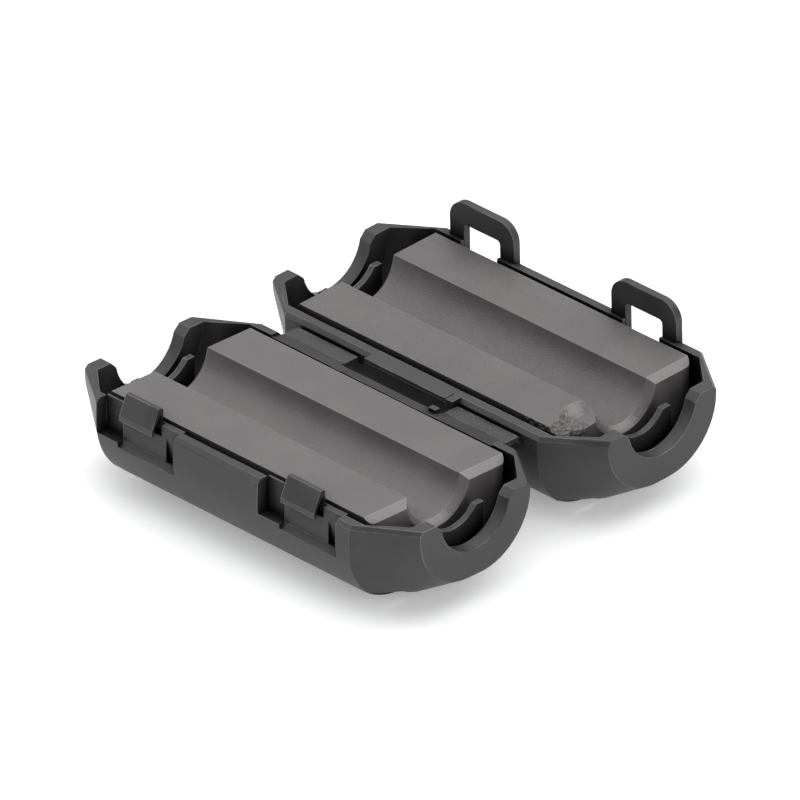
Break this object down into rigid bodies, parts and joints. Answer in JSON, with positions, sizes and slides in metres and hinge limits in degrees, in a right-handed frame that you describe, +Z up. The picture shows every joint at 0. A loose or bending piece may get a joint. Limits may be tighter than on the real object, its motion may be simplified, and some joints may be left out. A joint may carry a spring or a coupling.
{
  "type": "clip-on ferrite bead",
  "caption": "Hinged clip-on ferrite bead for a round cable, lying open, with a split ferrite sleeve in a plastic case.",
  "frame": {"origin": "middle of the hinge, projected down to the surface that the open case rests on", "axes": "+X along the cable channels, +Y from the catch half to the loop half, +Z up"},
  "size_m": [0.025, 0.0264, 0.0081],
  "materials": {
    "case_plastic": "fine satin moulding, black",
    "ferrite": "ground sintered ferrite, matt dark grey"
  },
  "bodies": {
    "catch_half": {"case_catch_half": "case_plastic", "ferrite_catch_half": "ferrite"},
    "hinge_straps": {"hinge_strap_left": "case_plastic", "hinge_strap_right": "case_plastic"},
    "loop_half": {"case_loop_half": "case_plastic", "ferrite_loop_half": "ferrite"},
    "latch_left": {"latch_loop_left": "case_plastic"},
    "latch_right": {"latch_loop_right": "case_plastic"}
  },
  "joints": [
    {"name": "strap_fold", "type": "hinge", "parent": "catch_half", "child": "hinge_straps", "pos_m": [0, -0.00042, 0.00521], "axis": [1, 0, 0], "range_deg": [-1.6, 88.4]},
    {"name": "case_fold", "type": "hinge", "parent": "hinge_straps", "child": "loop_half", "pos_m": [0, 0.00042, 0.00521], "axis": [1, 0, 0], "range_deg": [-1.6, 88.4]},
    {"name": "latch_left_flex", "type": "hinge", "parent": "loop_half", "child": "latch_left", "pos_m": [0, 0.01317, 0.00473], "axis": [-1, 0, 0], "range_deg": [0, 12], "stiffness_Nm_per_rad": 0.004},
    {"name": "latch_right_flex", "type": "hinge", "parent": "loop_half", "child": "latch_right", "pos_m": [0, 0.01317, 0.00473], "axis": [-1, 0, 0], "range_deg": [0, 12], "stiffness_Nm_per_rad": 0.004}
  ],
  "couplings": [
    {"joint": "strap_fold", "follows": "case_fold", "ratio": 1}
  ]
}
